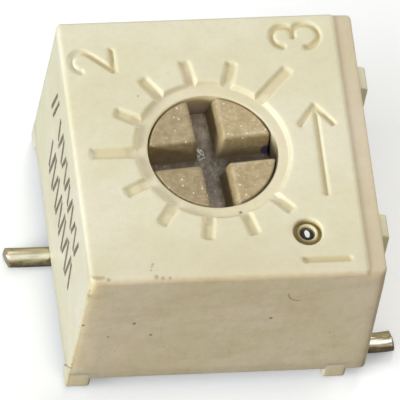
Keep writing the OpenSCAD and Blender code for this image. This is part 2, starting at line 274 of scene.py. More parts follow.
    # the shadowed groove around the vent
    rv = g.vm("LENGTH", g.vm("MULTIPLY", g.vm("SUBTRACT", g.co, (1.645, -2.226, 0)), (1, 1, 0)), out=1)
    low = g.rng(z, 4.49, 4.64, 1.0, 0.0)
    groove = g.ma("MULTIPLY", g.rng(rv, 0.34, 0.37, 1.0, 0.0), g.rng(rv, 0.236, 0.25))
    col = g.mix(g.ma("MULTIPLY", groove, low), col, lin("A3925E"))
    # painted shadow: the lip is darkened on its left, where the vent's rim shades it
    lip = g.ma("MULTIPLY", g.rng(rv, 0.236, 0.25, 1.0, 0.0), g.rng(z, 4.605, 4.63, 1.0, 0.0))
    rim_shadow = g.rng(g.ma("ADD", g.ma("MULTIPLY", g.ma("SUBTRACT", x, 1.645), 0.8), g.ma("MULTIPLY", g.ma("ADD", y, 2.226), 0.6)), -0.16, 0.10, 0.75, 0.0)
    col = g.mix(g.ma("MULTIPLY", lip, rim_shadow), col, lin("8A7B50"))
    # small dark specks
    specks = [((0.243, -1.620, 4.556), 0.040), ((0.205, -1.625, 4.556), 0.016), ((-2.109, -3.32, 2.823), 0.050),
              ((-1.676, -3.32, 2.299), 0.042), ((0.93, -3.32, 2.833), 0.046),
              ((-3.247, -3.31, 2.832), 0.048), ((-2.623, -3.31, 2.281), 0.032), ((-3.31, -3.31, 1.42), 0.022), ((-3.29, -3.31, 1.12), 0.026),
              ((-2.70, -3.31, 1.42), 0.016), ((-1.32, -3.31, 1.77), 0.018), ((0.2, -3.31, 1.4), 0.018),
              ((-2.4, -3.31, 1.64), 0.016), ((2.35, -3.31, 2.1), 0.02), ((-0.55, -3.31, 3.5), 0.014),
              ((-1.7, 1.388, 4.66), 0.02)]
    dark = None
    for p, rad in specks:
        s = g.spot(p, rad * 0.35, rad * 1.25)
        dark = s if dark is None else g.ma("MAXIMUM", dark, s)
    # scattered pinholes
    pin = g.rng(g.cells(1.15), 0.0, 0.018, 1.0, 0.0)
    dark = g.ma("MAXIMUM", g.ma("MULTIPLY", dark, 0.72), g.ma("MULTIPLY", pin, 0.45))
    col = g.mix(dark, col, lin("5C4E3A"))
    # shallow nicks along the front edge of the top and down the left corner
    nicks = [((-3.215, -3.190, 4.652), 0.045), ((-3.150, -3.207, 4.652), 0.055), ((-3.085, -3.209, 4.652), 0.055), ((-3.015, -3.203, 4.652), 0.045),
             ((-3.28, -3.13, 4.652), 0.035), ((-2.905, -3.255, 4.642), 0.050), ((-1.885, -2.915, 4.655), 0.035), ((-1.915, -2.98, 4.655), 0.028),
             ((-1.94, -3.06, 4.655), 0.028), ((-1.84, -3.231, 4.648), 0.055), ((-1.70, -3.262, 4.640), 0.045), ((-1.54, -3.266, 4.640), 0.040),
             ((-3.31, -3.31, 4.27), 0.050), ((-3.29, -3.31, 4.10), 0.065)]
    nick = None
    for p, rad in nicks:
        s = g.spot(p, rad * 0.2, rad * 1.5)
        nick = s if nick is None else g.ma("MAXIMUM", nick, s)
    col = g.mix(g.ma("MULTIPLY", nick, 0.55), col, lin("9A8860"))
    # a short curved hair on the front wall, and a nick on the front left edge
    hair = g.rng(g.ma("ABSOLUTE", g.ma("SUBTRACT", g.vm("DISTANCE", g.co, (1.50, -3.31, 3.86), out=1), 0.31)), 0.008, 0.030, 1.0, 0.0)
    hair = g.ma("MULTIPLY", hair, g.spot((1.30, -3.31, 3.68), 0.14, 0.30))
    col = g.mix(g.ma("MULTIPLY", hair, 0.55), col, lin("8A6F50"))
    rough = g.rng(fine, 0.3, 0.8, 0.42, 0.56)
    h = g.ma("ADD", g.ma("MULTIPLY", g.noise(22, 3, 0.6), 0.5), g.ma("MULTIPLY", g.noise(3.2, 2, 0.5), 0.9))
    h = g.ma("SUBTRACT", h, g.ma("MULTIPLY", dark, 1.5))
    return g.out(Base_Color=col, Roughness=rough, Normal=g.bump(h, 0.006), Specular_IOR_Level=0.42,
                 Subsurface_Weight=g.rng(z, 0.60, 0.72, 0.0, 0.35), Subsurface_Radius=(1.0, 0.8, 0.5), Subsurface_Scale=0.00025)


def rotor_material():
    g = G("khaki_grainy_plastic")
    x, y, z = g.xyz()
    base = g.mix(g.rng(g.noise(6, 4, 0.65), 0.3, 0.72), lin("A4926E"), lin("BEAD8B"))
    base = g.mix(g.rng(g.noise(24, 2, 0.5), 0.45, 0.75, 0.0, 0.5), base, lin("8C7E5E"))
    # ripples left by the cutter across the faces
    ripple = g.noise(5.0, 3, 0.6, 1.2, g.vm("MULTIPLY", g.co, (0.8, 2.6, 1.0)))
    base = g.mix(g.rng(ripple, 0.52, 0.72, 0.0, 0.35), base, lin("CFC4A4"))
    # the worn faces are paler towards the right
    base = g.mix(g.rng(x, -0.55, 0.30), base, g.mix(1.0, base, (1.25, 1.24, 1.22), "MULTIPLY"))
    # the slot's walls and their rounded edges are browner
    dx, dy = g.ma("SUBTRACT", x, AX), g.ma("SUBTRACT", y, AY)
    ca, sa = math.cos(math.radians(4.3)), math.sin(math.radians(4.3))
    lu = g.ma("ABSOLUTE", g.ma("ADD", g.ma("MULTIPLY", dx, ca), g.ma("MULTIPLY", dy, sa)))
    lv = g.ma("ABSOLUTE", g.ma("SUBTRACT", g.ma("MULTIPLY", dy, ca), g.ma("MULTIPLY", dx, sa)))
    inslot = g.rng(g.ma("MINIMUM", lu, lv), 0.300, 0.350, 1.0, 0.0)
    base = g.mix(inslot, base, g.mix(1.0, base, (0.76, 0.73, 0.64), "MULTIPLY"))
    base = g.mix(g.rng(y, -0.4, 0.3, 1.0, 0.0), base, g.mix(1.0, base, (0.93, 0.92, 0.91), "MULTIPLY"))
    # paler rubbed edges along the slot on the right, partly a painted highlight where the edges catch the light
    wear_and_highlight = g.ma("MULTIPLY", g.rng(g.ma("MINIMUM", lu, lv), 0.335, 0.365), g.rng(g.ma("MINIMUM", lu, lv), 0.375, 0.425, 1.0, 0.0))
    wear_and_highlight = g.ma("MULTIPLY", g.ma("MULTIPLY", wear_and_highlight, g.rng(x, -0.1, 0.3)), g.rng(g.noise(7, 3, 0.6), 0.40, 0.62))
    base = g.mix(g.ma("MULTIPLY", wear_and_highlight, 0.6), base, lin("E3D8BA"))
    # glitter: grains of mineral filler on the worn face, painted near white as glints, a few large grains and many
    # small ones
    n = g.t.nodes.new("ShaderNodeSeparateColor")
    g.put(n.inputs[0], g.cells(9.5, "Color"))
    big = g.ma("MULTIPLY", g.rng(n.outputs[0], 0.74, 0.90), g.rng(g.cells(9.5), 0.10, 0.32, 1.0, 0.0))
    m = g.t.nodes.new("ShaderNodeSeparateColor")
    g.put(m.inputs[0], g.cells(21, "Color"))
    small = g.ma("MULTIPLY", g.rng(m.outputs[0], 0.66, 0.90), g.rng(g.cells(21), 0.12, 0.42, 1.0, 0.0))
    face = g.rng(z, 4.44, 4.52)
    floor_ = g.rng(z, 3.84, 3.92, 1.0, 0.0)
    glint = g.ma("ADD", g.ma("MULTIPLY", big, 0.9), g.ma("MULTIPLY", small, g.rng(x, -0.7, 0.2, 0.35, 0.60)), clamp=True)
    glint = g.ma("MULTIPLY", glint, g.ma("ADD", g.ma("ADD", face, g.ma("MULTIPLY", floor_, 0.45)), 0.08, clamp=True))
    col = g.mix(glint, base, lin("F3ECD2"))
    # painted shade: the slot darkens with depth, and its floor is greyer
    down = g.rng(z, 3.95, 4.48, 1.0, 0.0)
    col = g.mix(g.ma("MULTIPLY", down, 0.62), col, lin("5C5040"))
    left = g.ma("MULTIPLY", g.rng(x, -0.55, -0.30, 1.0, 0.0), g.rng(z, 4.0, 4.3, 1.0, 0.0))
    col = g.mix(left, col, g.mix(1.0, col, (1.55, 1.60, 1.80), "MULTIPLY"))
    grey = g.mix(g.rng(g.noise(7, 4, 0.65), 0.35, 0.7), lin("776F66"), lin("978F82"))
    scratch = g.noise(7.0, 3, 0.6, 0.8, g.vm("MULTIPLY", g.co, (2.4, 0.5, 1.0)))
    grey = g.mix(g.rng(scratch, 0.55, 0.75, 0.0, 0.45), grey, lin("CBC5B8"))
    # the same painted glints on the floor
    grey = g.mix(g.ma("MULTIPLY", glint, 0.8), grey, lin("EDE9DC"))
    # painted light: the floor is paler towards both ends of the slot
    far = g.ma("MAXIMUM", g.rng(y, 0.45, 0.95), g.rng(y, -0.95, -0.45, 1.0, 0.0))
    grey = g.mix(far, grey, g.mix(1.0, grey, (1.75, 1.70, 1.66), "MULTIPLY"))
    wide = g.ma("MAXIMUM", g.rng(x, 0.5, 1.0), g.rng(x, -1.0, -0.5, 1.0, 0.0))
    grey = g.mix(wide, grey, g.mix(1.0, grey, (1.32, 1.28, 1.28), "MULTIPLY"))
    col = g.mix(floor_, col, grey)
    # and browner between the faces on the right
    col = g.mix(g.ma("MULTIPLY", g.ma("MULTIPLY", floor_, g.rng(x, 0.10, 0.30)), g.ma("MULTIPLY", g.rng(lv, 0.30, 0.36, 1.0, 0.0), 0.7)), col, lin("5A4D3C"))
    # a dark violet smear at the slot's right-hand end
    blot = g.ma("MAXIMUM", g.spot((1.19, 0.36, 3.86), 0.09, 0.15), g.spot((1.12, 0.32, 4.02), 0.12, 0.19))
    col = g.mix(g.ma("MULTIPLY", blot, 0.85), col, lin("33265A"))
    # a blob of set lacquer near the middle of the slot, its glassy highlights painted as white specks
    for q, rad in (((-0.44, 0.40, 3.83), 0.030), ((-0.352, 0.40, 3.83), 0.034), ((-0.272, 0.313, 3.83), 0.022), ((-0.39, 0.275, 3.83), 0.036),
                   ((-0.475, 0.335, 3.83), 0.026), ((-0.33, 0.335, 3.83), 0.022), ((-0.30, 0.44, 3.83), 0.020), ((-0.41, 0.335, 3.83), 0.020),
                   ((-0.25, 0.24, 3.83), 0.016), ((-0.47, 0.46, 3.83), 0.018), ((-0.36, 0.50, 3.83), 0.012), ((-0.51, 0.27, 3.83), 0.013)):
        col = g.mix(g.ma("MULTIPLY", g.spot(q, rad * 0.7, rad * 1.6), 0.95), col, lin("FBFAF5"))
    # two faint scratch arcs on the floor, and painted highlights in rings round the lacquer blob
    for q, rad, mid in (((0.14, -0.42, 3.83), 0.36, (-0.02, -0.12, 3.83)), ((-0.60, -0.30, 3.83), 0.52, (-0.12, -0.16, 3.83)),
                        ((-0.39, 0.32, 3.83), 0.13, (-0.42, 0.34, 3.83)), ((-0.37, 0.33, 3.83), 0.075, (-0.37, 0.33, 3.83))):
        blob = rad < 0.2
        arc = g.rng(g.ma("ABSOLUTE", g.ma("SUBTRACT", g.vm("DISTANCE", g.co, q, out=1), rad)), 0.010 if blob else 0.006, 0.034 if blob else 0.020, 1.0, 0.0)
        part = g.ma("MULTIPLY", g.spot(mid, 0.12, 0.26), g.rng(g.noise(9, 2, 0.5), 0.38, 0.55) if blob else 0.6)
        col = g.mix(g.ma("MULTIPLY", g.ma("MULTIPLY", arc, part), 0.95 if blob else 0.55), col, lin("F2EFE4" if blob else "C8C0B0"))
    d = g.vm("DISTANCE", g.co, (-0.36, 0.34, 3.83), out=1)
    smear = g.rng(g.ma("ADD", d, g.ma("MULTIPLY", g.noise(6, 2, 0.5), 0.12)), 0.17, 0.25, 1.0, 0.0)
    h = g.ma("ADD", g.ma("MULTIPLY", g.noise(16, 4, 0.7), 1.0), g.ma("MULTIPLY", m.outputs[1], 0.25))
    h = g.ma("ADD", h, g.ma("MULTIPLY", ripple, 0.6))
    h = g.ma("ADD", g.ma("MULTIPLY", h, g.ma("SUBTRACT", 1.0, smear)), g.ma("MULTIPLY", g.noise(5.5, 1, 0.4, 2.6), g.ma("MULTIPLY", smear, 7.0)))
    rough = g.ma("SUBTRACT", g.rng(g.noise(12, 3, 0.6), 0.3, 0.7, 0.5, 0.66),
                 g.ma("ADD", g.ma("MULTIPLY", smear, 0.48), g.ma("MULTIPLY", glint, 0.3)), clamp=True)
    return g.out(Base_Color=col, Roughness=rough, Normal=g.bump(h, 0.012), Specular_IOR_Level=0.5)


def tin_material():
    g = G("tinned_wire")
    x, y, z = g.xyz()
    # height across the wire, from its front underside (-1) to its rear upper side (1)
    dy = g.ma("SUBTRACT", y, g.ma("MULTIPLY", g.ma("ROUND", g.ma("DIVIDE", y, 2.54)), 2.54))
    dz = g.ma("SUBTRACT", z, 0.23)
    across = g.ma("DIVIDE", g.ma("ADD", g.ma("MULTIPLY", dy, 0.86), g.ma("MULTIPLY", dz, 0.5)), 0.22)
    along = g.noise(1.0, 4, 0.6, 0.0, g.vm("MULTIPLY", g.co, (1.5, 7.0, 7.0)))
    patch = g.noise(3.2, 3, 0.6)
    a = g.ma("ADD", across, g.ma("MULTIPLY", g.ma("SUBTRACT", along, 0.5), 0.5))
    # painted reflection: pale across the middle of the wire, tan towards its rear upper side
    col = g.mix(g.rng(along, 0.35, 0.7), lin("EAE6DA"), lin("FAF8F2"))
    col = g.mix(g.rng(a, 0.15, 0.50), col, lin("D0C5A6"))
    col = g.mix(g.rng(a, 0.60, 0.95), col, lin("C2B58F"))
    # painted reflection: the lower front side is darkened, darkest along the underside
    low = g.mix(g.rng(g.noise(4.5, 3, 0.6), 0.35, 0.68), lin("7A7154"), lin("B2A888"))
    col = g.mix(g.rng(a, -0.48, -0.12, 1.0, 0.0), col, low)
    col = g.mix(g.rng(a, -1.0, -0.72, 1.0, 0.0), col, lin("6E684A"))
    col = g.mix(g.rng(patch, 0.52, 0.75, 0.0, 0.4), col, lin("B0A48A"))
    # the sheared faces are dull and paler
    back = g.ma("MULTIPLY", g.ma("MAXIMUM", 0.0, g.ma("SUBTRACT", 0.25, across)), 0.088)
    end = g.ma("MAXIMUM", g.rng(g.ma("SUBTRACT", back, x), 4.282, 4.300), g.ma("MULTIPLY", g.rng(x, 4.085, 4.105), 0.8))
    col = g.mix(g.ma("MULTIPLY", end, 0.7), col, lin("AEA27E"))
    rough = g.rng(g.noise(6, 3, 0.6), 0.3, 0.7, 0.13, 0.24)
    h = g.ma("ADD", along, g.ma("MULTIPLY", g.noise(14, 2, 0.5), 0.05))
    rough = g.ma("ADD", rough, g.ma("MULTIPLY", g.ma("MAXIMUM", end, g.rng(x, -4.26, -4.15, 1.0, 0.0)), 0.25))
    # the top and the underside are less metallic, so their painted reflection colours show
    dull = g.ma("MAXIMUM", g.ma("MULTIPLY", g.rng(a, 0.45, 0.85), 0.62), g.rng(a, -0.60, -0.25, 0.42, 0.0))
    metal = g.ma("SUBTRACT", 1.0, g.ma("MAXIMUM", dull, g.ma("MULTIPLY", end, 0.6)))
    return g.out(Base_Color=col, Metallic=metal, Roughness=rough, Normal=g.bump(h, 0.006))


def simple(name, a, b, scale, rough=(0.4, 0.6), metal=0.0, bump=0.004, stretch=(1, 1, 1), **more):
    g = G(name)
    v = g.vm("MULTIPLY", g.co, stretch)
    n1 = g.noise(scale, 4, 0.6, 0.0, v)
    col = g.mix(g.rng(n1, 0.3, 0.7), lin(a), lin(b))
    r = g.rng(g.noise(scale * 2.3, 3, 0.6, 0.0, v), 0.3, 0.7, *rough)
    return g.out(Base_Color=col, Metallic=metal, Roughness=r, Normal=g.bump(n1, bump), **more)


MAT_HOUSING = housing_material()
MAT_ROTOR = rotor_material()
MAT_TIN = tin_material()
MAT_INK = simple("print_ink", "6A5F50", "988D7A", 9, (0.45, 0.7), bump=0.003)
MAT_BEAD = simple("bead_resin", "0E0C0A", "1C1814", 6, (0.06, 0.12), bump=0.001, Specular_IOR_Level=1.0, Coat_Weight=1.0, Coat_IOR=1.8, Coat_Roughness=0.05)
MAT_RUBBER = simple("seal_rubber", "1B1B1E", "29292D", 10, (0.5, 0.7))
MAT_SPRING = simple("spring_alloy", "C9A562", "E0C07E", 5, (0.2, 0.35), 1.0, 0.002, (1, 12, 1))
MAT_CERAMIC = simple("alumina_ceramic", "E4E2D8", "F3F1EA", 20, (0.6, 0.75))
MAT_CERMET = simple("cermet_film", "1F1F22", "3A3A3E", 16, (0.35, 0.6), 0.2)
MAT_FILM = simple("silver_film", "B4B2A8", "D6D4CC", 12, (0.35, 0.5), 1.0)
MAT_SOLDER = simple("solder_metal", "BDBDBB", "D8D8D6", 6, (0.2, 0.4), 1.0)
MAT_POTTING = simple("potting_resin", "4A3B26", "63513A", 3, (0.22, 0.4), bump=0.01, Specular_IOR_Level=0.5)


# ---------------------------------------------------------------- mesh building
def build(name, verts, faces, mat, body, replaced=(), sharp=45.0, weighted=True):
    """One piece from millimetre points and faces, outward normals, smooth with sharp edges kept."""
    me = bpy.data.meshes.new(name)
    me.from_pydata([(float(v[0]) * MM, float(v[1]) * MM, float(v[2]) * MM) for v in verts], [], [tuple(int(i) for i in f) for f in faces])
    me.validate()
    bm = bmesh.new()
    bm.from_mesh(me)
    loose = [v for v in bm.verts if not v.link_faces]
    bmesh.ops.delete(bm, geom=loose, context="VERTS")
    bmesh.ops.recalc_face_normals(bm, faces=bm.faces[:])
    bm.to_mesh(me)
    bm.free()
    me.polygons.foreach_set("use_smooth", [True] * len(me.polygons))
    me.set_sharp_from_angle(angle=math.radians(sharp))
    me.materials.append(mat)
    o = bpy.data.objects.new(name, me)
    S.collection.objects.link(o)
    if weighted:
        w = o.modifiers.new("weighted", "WEIGHTED_NORMAL")
        w.keep_sharp = True
        w.weight = 50
    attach(o, body)
    if replaced:
        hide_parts(*replaced)
    return o


class Shells:
    """Gathers closed shells into one piece."""

    def __init__(self):
        self.v, self.f = [], []

    def add(self, verts, faces):
        k = len(self.v)
        self.v.extend([tuple(p) for p in verts])
        self.f.extend([tuple(i + k for i in f) for f in faces])

    def rings(self, rings, closed=False):
        """Skins a list of rings, each with the same number of points, and closes both ends unless closed is a loop."""
        k = len(self.v)
        n = len(rings[0])
        for r in rings:
            self.v.extend([tuple(p) for p in r])
        m = len(rings)
        for j in range(m if closed else m - 1):
            a, b = k + j * n, k + ((j + 1) % m) * n
            for i in range(n):
                q = (i + 1) % n
                self.f.append((a + i, a + q, b + q, b + i))
        if not closed:
            self.f.append(tuple(range(k, k + n))[::-1])
            self.f.append(tuple(range(k + (m - 1) * n, k + m * n)))

    def lathe(self, profile, cx=0.0, cy=0.0, n=96, closed=False):
        """Turns (r, z) points round an upright axis."""
        a = [2 * math.pi * i / n for i in range(n)]
        self.rings([[(cx + r * math.cos(t), cy + r * math.sin(t), z) for t in a] for r, z in profile], closed)

    def box(self, lo, hi, r, seg=3):
        """A box with all its edges rounded."""
        bm = bmesh.new()
        bmesh.ops.create_cube(bm, size=1.0)
        for v in bm.verts:
            v.co = Vector([(lo[i] + hi[i]) / 2 + v.co[i] * (hi[i] - lo[i]) for i in range(3)])
        bmesh.ops.bevel(bm, geom=bm.edges[:], offset=r, segments=seg, profile=0.5, affect="EDGES", clamp_overlap=True)
        bm.verts.index_update()
        self.add([v.co[:] for v in bm.verts], [[v.index for v in f.verts] for f in bm.faces])
        bm.free()


def sstep(a, b, x):
    t = np.clip((x - a) / (b - a), 0, 1)
    return t * t * (3 - 2 * t)


# ---------------------------------------------------------------- the dial's relief
def seg_sd(x, y, p, q, half):
    p, q = np.array(p, float), np.array(q, float)
    d = q - p
    t = np.clip(((x - p[0]) * d[0] + (y - p[1]) * d[1]) / (d @ d), 0, 1)
    return np.hypot(x - p[0] - t * d[0], y - p[1] - t * d[1]) - half


def arc_sd(x, y, c, r, a0, a1, half):
    dx, dy = x - c[0], y - c[1]
    mid, span = math.radians((a0 + a1) / 2), math.radians((a1 - a0) / 2)
    a = np.arctan2(dy, dx) - mid
    a = (a + np.pi) % (2 * np.pi) - np.pi
    on = np.abs(np.hypot(dx, dy) - r)
    e = np.minimum(*[np.hypot(dx - r * math.cos(math.radians(t)), dy - r * math.sin(math.radians(t))) for t in (a0, a1)])
    return np.where(np.abs(a) <= span, on, e) - half


def boxy_sd(x, y, x0, x1, y0, y1, r):
    cx, cy, hx, hy = (x0 + x1) / 2, (y0 + y1) / 2, (x1 - x0) / 2 - r, (y1 - y0) / 2 - r
    qx, qy = np.abs(x - cx) - hx, np.abs(y - cy) - hy
    return np.hypot(np.maximum(qx, 0), np.maximum(qy, 0)) + np.minimum(np.maximum(qx, qy), 0) - r


def upright(x, y, ox, oy):
    """Local (u, v) of a digit that stands turned a quarter left: u along +Y, v along -X."""
    return y - oy, ox - x


TICK = 26.8
STROKE = 0.055


def relief(x, y):
    """Depth of the top face below its plane, in millimetres."""
    r = np.hypot(x - AX, y - AY)
    ring = 1 - sstep(1.662, 1.785, r)
    marks = np.full_like(r, 9.0)
    for k in range(-5, 6):
        a = math.radians(180 + k * TICK)
        c, s = math.cos(a), math.sin(a)
        u, v = (x - AX) * c + (y - AY) * s, -(x - AX) * s + (y - AY) * c
        reach = {0: 2.73, -5: 2.76, 5: 2.26}.get(k, 2.31)
        marks = np.minimum(marks, boxy_sd(u, v, 1.4, reach, -0.125, 0.125, 0.07))
    tick = 1 - sstep(-0.05, 0.05, marks)
    d = np.full_like(r, 9.0)
    u, v = upright(x, y, 2.51, 2.475)
    for s in (arc_sd(u, v, (0.31, 0.80), 0.262, -60, 172, STROKE), arc_sd(u, v, (0.32, 0.315), 0.30, -180, 66, STROKE),
              seg_sd(u, v, (0.31, 0.585), (0.45, 0.595), STROKE)):
        d = np.minimum(d, s)
    u, v = upright(x, y, 2.53, -3.24)
    for s in (seg_sd(u, v, (0.30, 0.05), (0.30, 1.02), STROKE), seg_sd(u, v, (0.29, 1.02), (0.275, 1.005), STROKE * 0.9)):
        d = np.minimum(d, s)
    u, v = upright(x, y, -2.1, 2.0)
    for s in (arc_sd(u, v, (0.31, 0.74), 0.25, -38, 168, STROKE), seg_sd(u, v, (0.505, 0.585), (0.08, 0.08), STROKE),
              seg_sd(u, v, (0.08, 0.06), (0.57, 0.06), STROKE)):
        d = np.minimum(d, s)
    for s in (seg_sd(x, y, (2.18, -1.25), (2.18, 0.93), STROKE), seg_sd(x, y, (2.18, 0.98), (1.82, 0.52), STROKE),
              seg_sd(x, y, (2.18, 0.98), (2.54, 0.52), STROKE)):
        d = np.minimum(d, s)
    glyph = 1 - sstep(-0.035, 0.05, d)
    # the marks run down into the recess
    tick = tick * (0.062 + 0.038 * (1 - sstep(1.74, 1.98, r)))
    cut = np.maximum(ring * 0.105, np.maximum(tick, glyph * 0.064))
    band = sstep(2.84, 2.91, x) * 0.045 + np.maximum(0, x - 2.88) * 0.06
    line = np.exp(-((x - 2.885) / 0.02) ** 2) * 0.008
    # the face is very slightly uneven, as moulded
    wave = 0.004 * np.sin(1.3 * x + 0.8) * np.sin(1.1 * y - 0.4)
    return cut + band + line + np.maximum(0, wave) * 0.5


# ---------------------------------------------------------------- housing
SIDE, CORNER = 188, 12


def columns():
    out = []
    for s in range(8):
        n = SIDE if s % 2 == 0 else CORNER
        out += [(s, k / n) for k in range(n)]
    half = len(out) // 2
    return out[half:] + out[:half]


COLS = columns()
N = len(COLS)


def rrect(x0, x1, y0, y1, rads, inset=(0, 0, 0, 0), cols=COLS):
    """Points round a rounded rectangle, for the given columns. rads: corners rear right, rear left, front left, front right.
    inset: right, rear, left, front. Returns points, outward normals and the inset at each."""
    r = rads
    cs = [(x1 - r[0], y1 - r[0]), (x0 + r[1], y1 - r[1]), (x0 + r[2], y0 + r[2]), (x1 - r[3], y0 + r[3])]
    pts, nor, ins = [], [], []
    for s, f in cols:
        side = s // 2
        if s % 2 == 0:
            e = inset[side]
            if side == 0:
                a, b, n = (x1, y0 + r[3]), (x1, y1 - r[0]), (1, 0)
            elif side == 1:
                a, b, n = (x1 - r[0], y1), (x0 + r[1], y1), (0, 1)
            elif side == 2:
                a, b, n = (x0, y1 - r[1]), (x0, y0 + r[2]), (-1, 0)
            else:
                a, b, n = (x0 + r[2], y0), (x1 - r[3], y0), (0, -1)
            p = (a[0] + (b[0] - a[0]) * f, a[1] + (b[1] - a[1]) * f)
        else:
            t = math.radians(90 * (side + f))
            n = (math.cos(t), math.sin(t))
            c = cs[side]
            p = (c[0] + r[side] * n[0], c[1] + r[side] * n[1])
            k = f * f * (3 - 2 * f)
            e = inset[side] * (1 - k) + inset[(side + 1) % 4] * k
        pts.append((p[0] - n[0] * e, p[1] - n[1] * e))
        nor.append(n)
        ins.append(e)
    return np.array(pts), np.array(nor), np.array(ins)


def make_housing():
    V, F = [], []

    def row(xy, z):
        k = len(V)
        z = np.broadcast_to(z, (len(xy),))
        V.extend([(float(a), float(b), float(c)) for (a, b), c in zip(xy, z)])
        return list(range(k, k + len(xy)))

    def skin(a, b):
        n = len(a)
        F.extend([(a[i], a[(i + 1) % n], b[(i + 1) % n], b[i]) for i in range(n)])

    def thin(a, b):
        """Joins a full row to one with a quarter of its columns."""
        n = len(b)
        for i in range(n):
            q = [a[(4 * i + j) % len(a)] for j in range(5)]
            F.append((*q, b[(i + 1) % n], b[i]))

    RW = (0.11, 0.11, 0.165, 0.165)
    wall, nor, _ = rrect(-3.30, 3.30, -3.335, 3.335, RW)
    flat, _, ins = rrect(-3.30, 3.30, -3.335, 3.335, RW, (0.06, 0.07, 0.10, 0.14))
    ang = np.arctan2(flat[:, 1] - AY, flat[:, 0] - AX)
    unit = np.stack([np.cos(ang), np.sin(ang)], 1)
    centre = np.array([AX, AY])

    def circ(r, cols=slice(None)):
        return centre + unit[cols] * r

    # bore and the ring's floor
    FLOOR = TOP - 0.105
    bore = [row(circ(1.433), 4.10), row(circ(1.433), FLOOR - 0.025), row(circ(1.439), FLOOR - 0.008), row(circ(1.452), FLOOR)]
    for a, b in zip(bore, bore[1:]):
        skin(a, b)
    grid = []
    for r in [1.49, 1.54, 1.59, 1.63, 1.655, 1.668, 1.680, 1.692, 1.704, 1.716, 1.728, 1.740, 1.752, 1.768, 1.80, 1.84]:
        grid.append(circ(r))
    rows_out = 74
    for j in range(1, rows_out + 1):
        b = (j / rows_out)
        b = 0.85 * b + 0.15 * b * b * (3 - 2 * b)
        grid.append(circ(1.84) * (1 - b) + flat * b)
    P = np.array(grid)                                     # rows, columns, xy
    Z = TOP - relief(P[..., 0], P[..., 1])
    ids = [row(P[j], Z[j]) for j in range(len(P))]
    skin(bore[-1], ids[0])
    # the vent takes a block of cells out of the grid
    vc = np.array([1.645, -2.226])
    D = np.hypot(P[..., 0] - vc[0], P[..., 1] - vc[1])
    near = np.argwhere(D < 0.39)
    j0, j1 = near[:, 0].min() - 1, near[:, 0].max() + 1
    c0, c1 = near[:, 1].min() - 1, near[:, 1].max() + 1
    for j in range(len(ids) - 1):
        a, b = ids[j], ids[j + 1]
        for i in range(N):
            if j0 <= j < j1 and c0 <= i < c1:
                continue
            F.append((a[i], a[(i + 1) % N], b[(i + 1) % N], b[i]))
    edge = [(j0, i) for i in range(c0, c1)] + [(j, c1) for j in range(j0, j1)] + [(j1, i) for i in range(c1, c0, -1)] + [(j, c0) for j in range(j1, j0, -1)]
    loop = [ids[j][i] for j, i in edge]
    E = np.array([P[j, i] for j, i in edge])
    phi = np.arctan2(E[:, 1] - vc[1], E[:, 0] - vc[0])
    u = np.stack([np.cos(phi), np.sin(phi)], 1)
    last = loop
    prof = [(0.375, 0.0), (0.362, 0.003), (0.350, 0.010), (0.338, 0.024), (0.328, 0.045), (0.320, 0.075), (0.308, 0.15), (0.295, 0.165), (0.275, 0.172),
            (0.255, 0.165), (0.243, 0.145), (0.238, 0.11), (0.234, 0.088), (0.226, 0.072), (0.214, 0.063), (0.202, 0.062), (0.190, 0.068), (0.180, 0.082),
            (0.173, 0.11), (0.170, 0.15), (0.170, 0.45)]
    for k, (r, d) in enumerate(prof):
        if k == 0:
            pts = vc + u * r
            z = TOP - relief(pts[:, 0], pts[:, 1])
        else:
            z = TOP - d
        cur = row(vc + u * r, z)
        skin(last, cur)
        last = cur
    F.append(tuple(last))
    # rounded top edge
    z0 = Z[-1]
    prev = ids[-1]
    for a in (18, 36, 54, 72, 90):
        t = math.radians(a)
        cur = row(flat + nor * (ins * math.sin(t))[:, None], z0 - ins * (1 - math.cos(t)))
        skin(prev, cur)
        prev = cur
    # walls and underside, with a quarter of the columns
    q = slice(0, N, 4)
    few = COLS[::4]
    z1 = (z0 - ins)[q]

    def side(f, inset=0.0):
        """Outline of the walls, from their top (0) to the rim (1). The corners get sharper just under the top."""
        k = min(1.0, f / 0.12)
        rads = [a * (1 - k) + b * k for a, b in zip(RW, (0.14, 0.14, 0.045, 0.13))]
        return rrect(-3.30 - 0.03 * f, 3.30 + 0.07 * f, -3.335 + 0.03 * f, 3.335 - 0.05 * f, rads, (inset,) * 4, few)[0]

    def low(inset=0.0):
        return side(1.0, inset)

    f = 0.03
    cur = row(side(f), z1 * (1 - f) + (RIM + 0.04) * f)
    thin(prev, cur)
    prev = cur
    for f in (0.06, 0.09, 0.12, 0.2, 0.3, 0.45, 0.6, 0.75, 0.9, 1.0):
        cur = row(side(f), z1 * (1 - f) + (RIM + 0.04) * f)
        skin(prev, cur)
        prev = cur
    pocket = rrect(-2.85, 2.85, -2.85, 2.85, (0.05,) * 4, (0, 0, 0, 0), few)[0]
    wide = rrect(-2.88, 2.88, -2.88, 2.88, (0.06,) * 4, (0, 0, 0, 0), few)[0]
    for xy, z in ((low(0.012), RIM + 0.012), (low(0.04), RIM), (wide, RIM), (pocket, RIM + 0.03), (pocket, 1.2), (pocket, 2.06),
                  (circ(2.5, q), 2.06), (circ(2.5, q), 4.0), (circ(1.95, q), 4.0), (circ(1.95, q), 3.71), (circ(1.453, q), 3.71), (circ(1.433, q), 3.73)):
        cur = row(xy, z)
        skin(prev, cur)
        prev = cur
    # back up the bore to the full set of columns
    thin(bore[0], prev)

    sh = Shells()
    sh.add(V, F)
    # ribs on the right wall
    for y in (-1.9, 1.9):
        prof = [(3.10, RIM + 0.03), (3.545, RIM + 0.03), (3.555, RIM + 0.08), (3.538, 4.13), (3.522, 4.19), (3.47, 4.24), (3.36, 4.262), (3.10, 4.262)]
        rings = []
        for t, g in ((-0.29, 0.03), (-0.28, 0.008), (-0.26, 0.0), (0.26, 0.0), (0.28, 0.008), (0.29, 0.03)):
            rings.append([(x - (g if x > 3.2 else 0), y + t, z - (g if z > 4.2 else 0)) for x, z in prof])
        sh.rings(rings)
